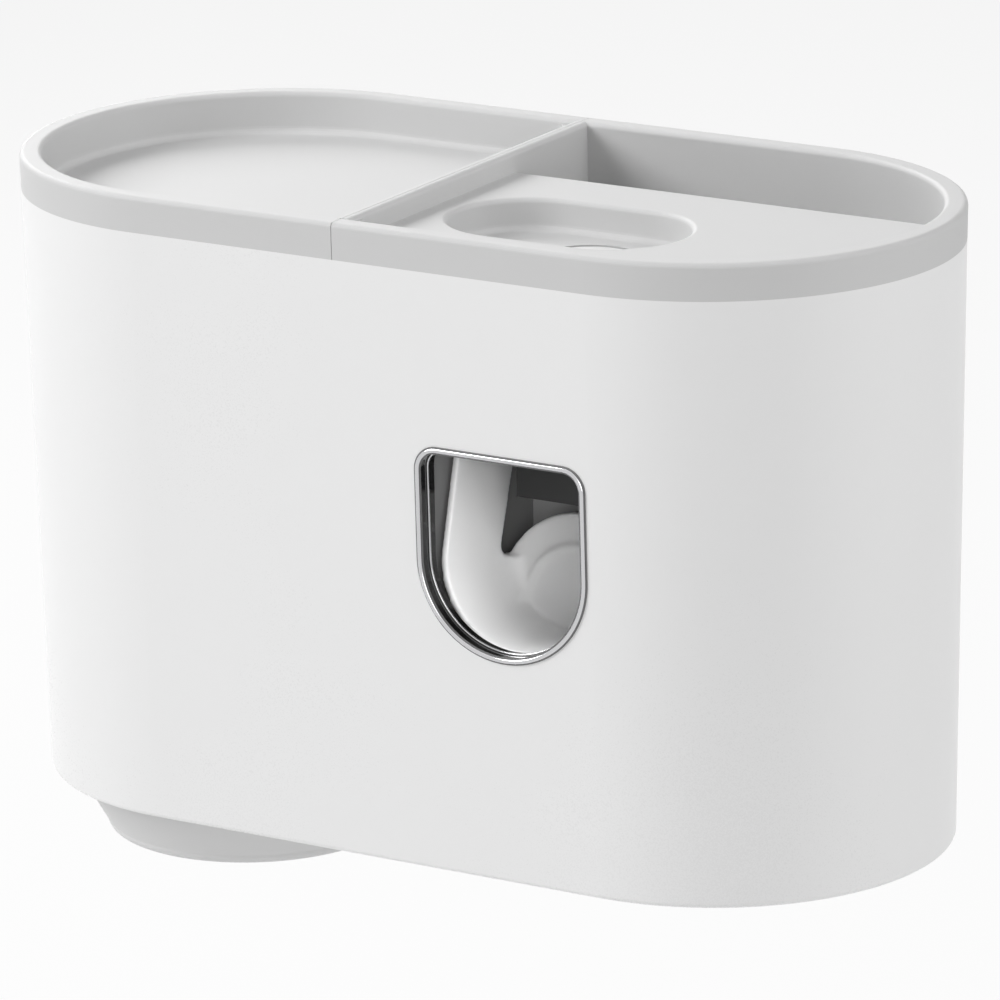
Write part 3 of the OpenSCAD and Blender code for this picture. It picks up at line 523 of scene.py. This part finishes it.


# The dark ring is painted shade: its edges, peeking out on both sides of the bezel, stand for the
# shadowed groove round it.
shade_ring = flat_ring(-WINDOW_INSET, BEZEL_WIDTH + 2 * SHADE_RING_EDGE, SHADE_RING_PROUD)
to_window(shade_ring, SHADE_RING_PROUD)
shade_ring = add_piece("bezel_shade_ring", shade_ring, bezel_shade_grey, "housing")
bezel = flat_ring(-WINDOW_INSET - SHADE_RING_EDGE, BEZEL_WIDTH, BEZEL_PROUD)
round_edges(bezel, BEZEL_ROUND, segments=5)
to_window(bezel, BEZEL_PROUD)
bezel = add_piece("bezel_ring", bezel, bezel_chrome, "housing")
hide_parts("window_bezel")
print("faces of gasket and bezel:", len(shade_ring.data.polygons), len(bezel.data.polygons))

# %% [markdown]
# Inside the opening the glossy liner has a fine bright bead, which catches the light as a second
# line. It is the same flat ring, rounded until it is nearly a wire.

# %% Liner bead
BEAD_INSET = 1.25 * MM
BEAD_WIDTH = 0.45 * MM
BEAD_THICK = 0.5 * MM
BEAD_ROUND = 0.2 * MM
BEAD_DEPTH = 2.2 * MM
bead = flat_ring(-BEAD_INSET, BEAD_WIDTH, BEAD_THICK)
round_edges(bead, BEAD_ROUND, segments=3)
to_window(bead, -BEAD_DEPTH)
bead = add_piece("liner_bead", bead, bezel_chrome, "housing")
print("bead faces:", len(bead.data.polygons))

# %% [markdown]
# The push lever is one moulding, like a small ladle between two arms. Every edge of it is soft, and
# the trough runs up into the plate without a corner. Bevels would fight at the places where many
# edges meet, so the mechanical solid is copied, wrapped in a fine even net of faces, and relaxed.

# %% Push lever
LEVER_VOXEL = 0.42 * MM
RELAX_ROUNDS = 10
RELAX_SHARE = 0.5
WELD = 0.001 * MM


def relaxed_copy(name, source, material, body):
    """A closed copy of a mechanical solid with its edges worn round. It replaces the solid."""
    merged = bmesh.new()
    merged.from_mesh(nodes[source].data)
    bmesh.ops.remove_doubles(merged, verts=merged.verts, dist=WELD)
    mesh = bpy.data.meshes.new(name + "_net")
    merged.to_mesh(mesh)
    merged.free()
    holder = bpy.data.objects.new(name + "_net", mesh)
    bpy.context.scene.collection.objects.link(holder)
    net = holder.modifiers.new("net", "REMESH")
    net.mode = "VOXEL"
    net.voxel_size = LEVER_VOXEL
    relax = holder.modifiers.new("relax", "SMOOTH")
    relax.factor = RELAX_SHARE
    relax.iterations = RELAX_ROUNDS
    graph = bpy.context.evaluated_depsgraph_get()
    final = bpy.data.meshes.new_from_object(holder.evaluated_get(graph))
    bpy.data.objects.remove(holder)
    final.name = name
    final.shade_smooth()
    final.materials.clear()
    final.materials.append(material)
    piece = bpy.data.objects.new(name, final)
    bpy.context.scene.collection.objects.link(piece)
    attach(piece, body)
    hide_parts(source)
    return piece


lever = relaxed_copy("lever_moulding", "push_lever", lever_white, "lever")
print("lever faces:", len(lever.data.polygons))

# %% [markdown]
# Little light finds its way through the small window, so the pieces behind it have lamps of their
# own. Light linking gives a lamp the pieces that it lights and the pieces that shade them, so it
# lights no others, and the body doesn't stand in its way.

# %% Light into the window
LEVER_LAMPS = {
    "lever_side": (60, 25, WIDE_LAMP, 10),
    "lever_high": (80, 42, WIDE_LAMP, 16),
    "lever_left": (-50, 35, WIDE_LAMP, 3),
}
CASE_LAMPS = {
    "case_front": (15, 5, WIDE_LAMP, 13),
    "case_side": (50, 20, WIDE_LAMP, 4),
}


def collect(name, pieces):
    """A collection for light linking. The pieces stay in the scene's own as well."""
    group = bpy.data.collections.new(name)
    for piece in pieces:
        group.objects.link(piece)
    return group


case = [nodes["pump_case"], nodes["case_cheeks"]]
shades = collect("window_shades", [lever, nodes["pump_block"], *case])
for lamps, lit in ((LEVER_LAMPS, [lever]), (CASE_LAMPS, case)):
    for name, setting in lamps.items():
        lamp = add_soft_box(name, *setting)
        lamp.light_linking.receiver_collection = collect(name, lit)
        lamp.light_linking.blocker_collection = shades
print("window lamps:", [*LEVER_LAMPS, *CASE_LAMPS])
